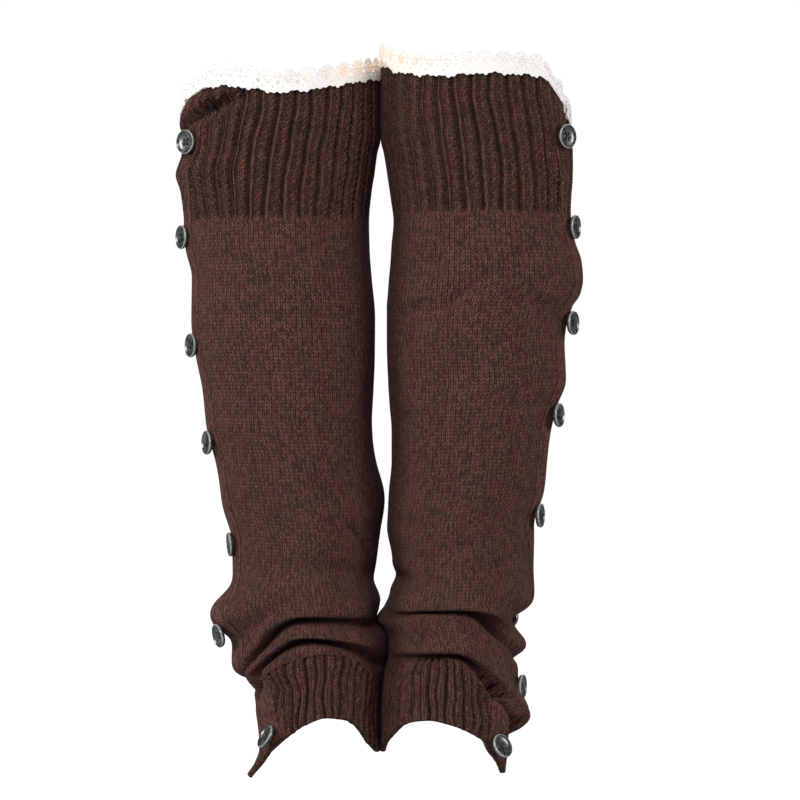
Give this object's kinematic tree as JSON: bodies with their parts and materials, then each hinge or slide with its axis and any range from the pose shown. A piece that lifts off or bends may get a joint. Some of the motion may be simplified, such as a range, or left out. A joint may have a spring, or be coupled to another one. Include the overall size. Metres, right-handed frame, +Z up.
{
  "type": "pair of long knitted leg warmers with lace tops and side buttons",
  "caption": "Pair of hollow knitted leg warmers worn over boots, with ribbed cuffs, a buttoned band down each outer side, lace round the tops and slumped folds at the ankles.",
  "frame": {"origin": "midway between the two top cuffs, at the middle of their height, where the calves hold them", "axes": "+Z up along the legs, -Y to the front, +X to the viewer's right; left and right in the node names are the viewer's"},
  "size_m": [0.2532, 0.1258, 0.4576],
  "materials": {
    "yarn": "matt, slightly hairy dark chocolate brown knit",
    "lace": "ivory cotton lace with peach tints",
    "button": "marbled dark grey-green with a pearly rim"
  },
  "bodies": {
    "root": {"left_top_cuff": "yarn", "left_leg": "yarn", "left_bottom_cuff": "yarn", "left_button_band": "yarn", "left_lace_trim": "lace", "left_button_1": "button", "left_button_2": "button", "left_button_3": "button", "left_button_4": "button", "left_button_5": "button", "left_button_6": "button", "left_button_7": "button", "right_top_cuff": "yarn", "right_leg": "yarn", "right_bottom_cuff": "yarn", "right_button_band": "yarn", "right_lace_trim": "lace", "right_button_1": "button", "right_button_2": "button", "right_button_3": "button", "right_button_4": "button", "right_button_5": "button", "right_button_6": "button", "right_button_7": "button", "right_button_8": "button"}
  },
  "joints": []
}
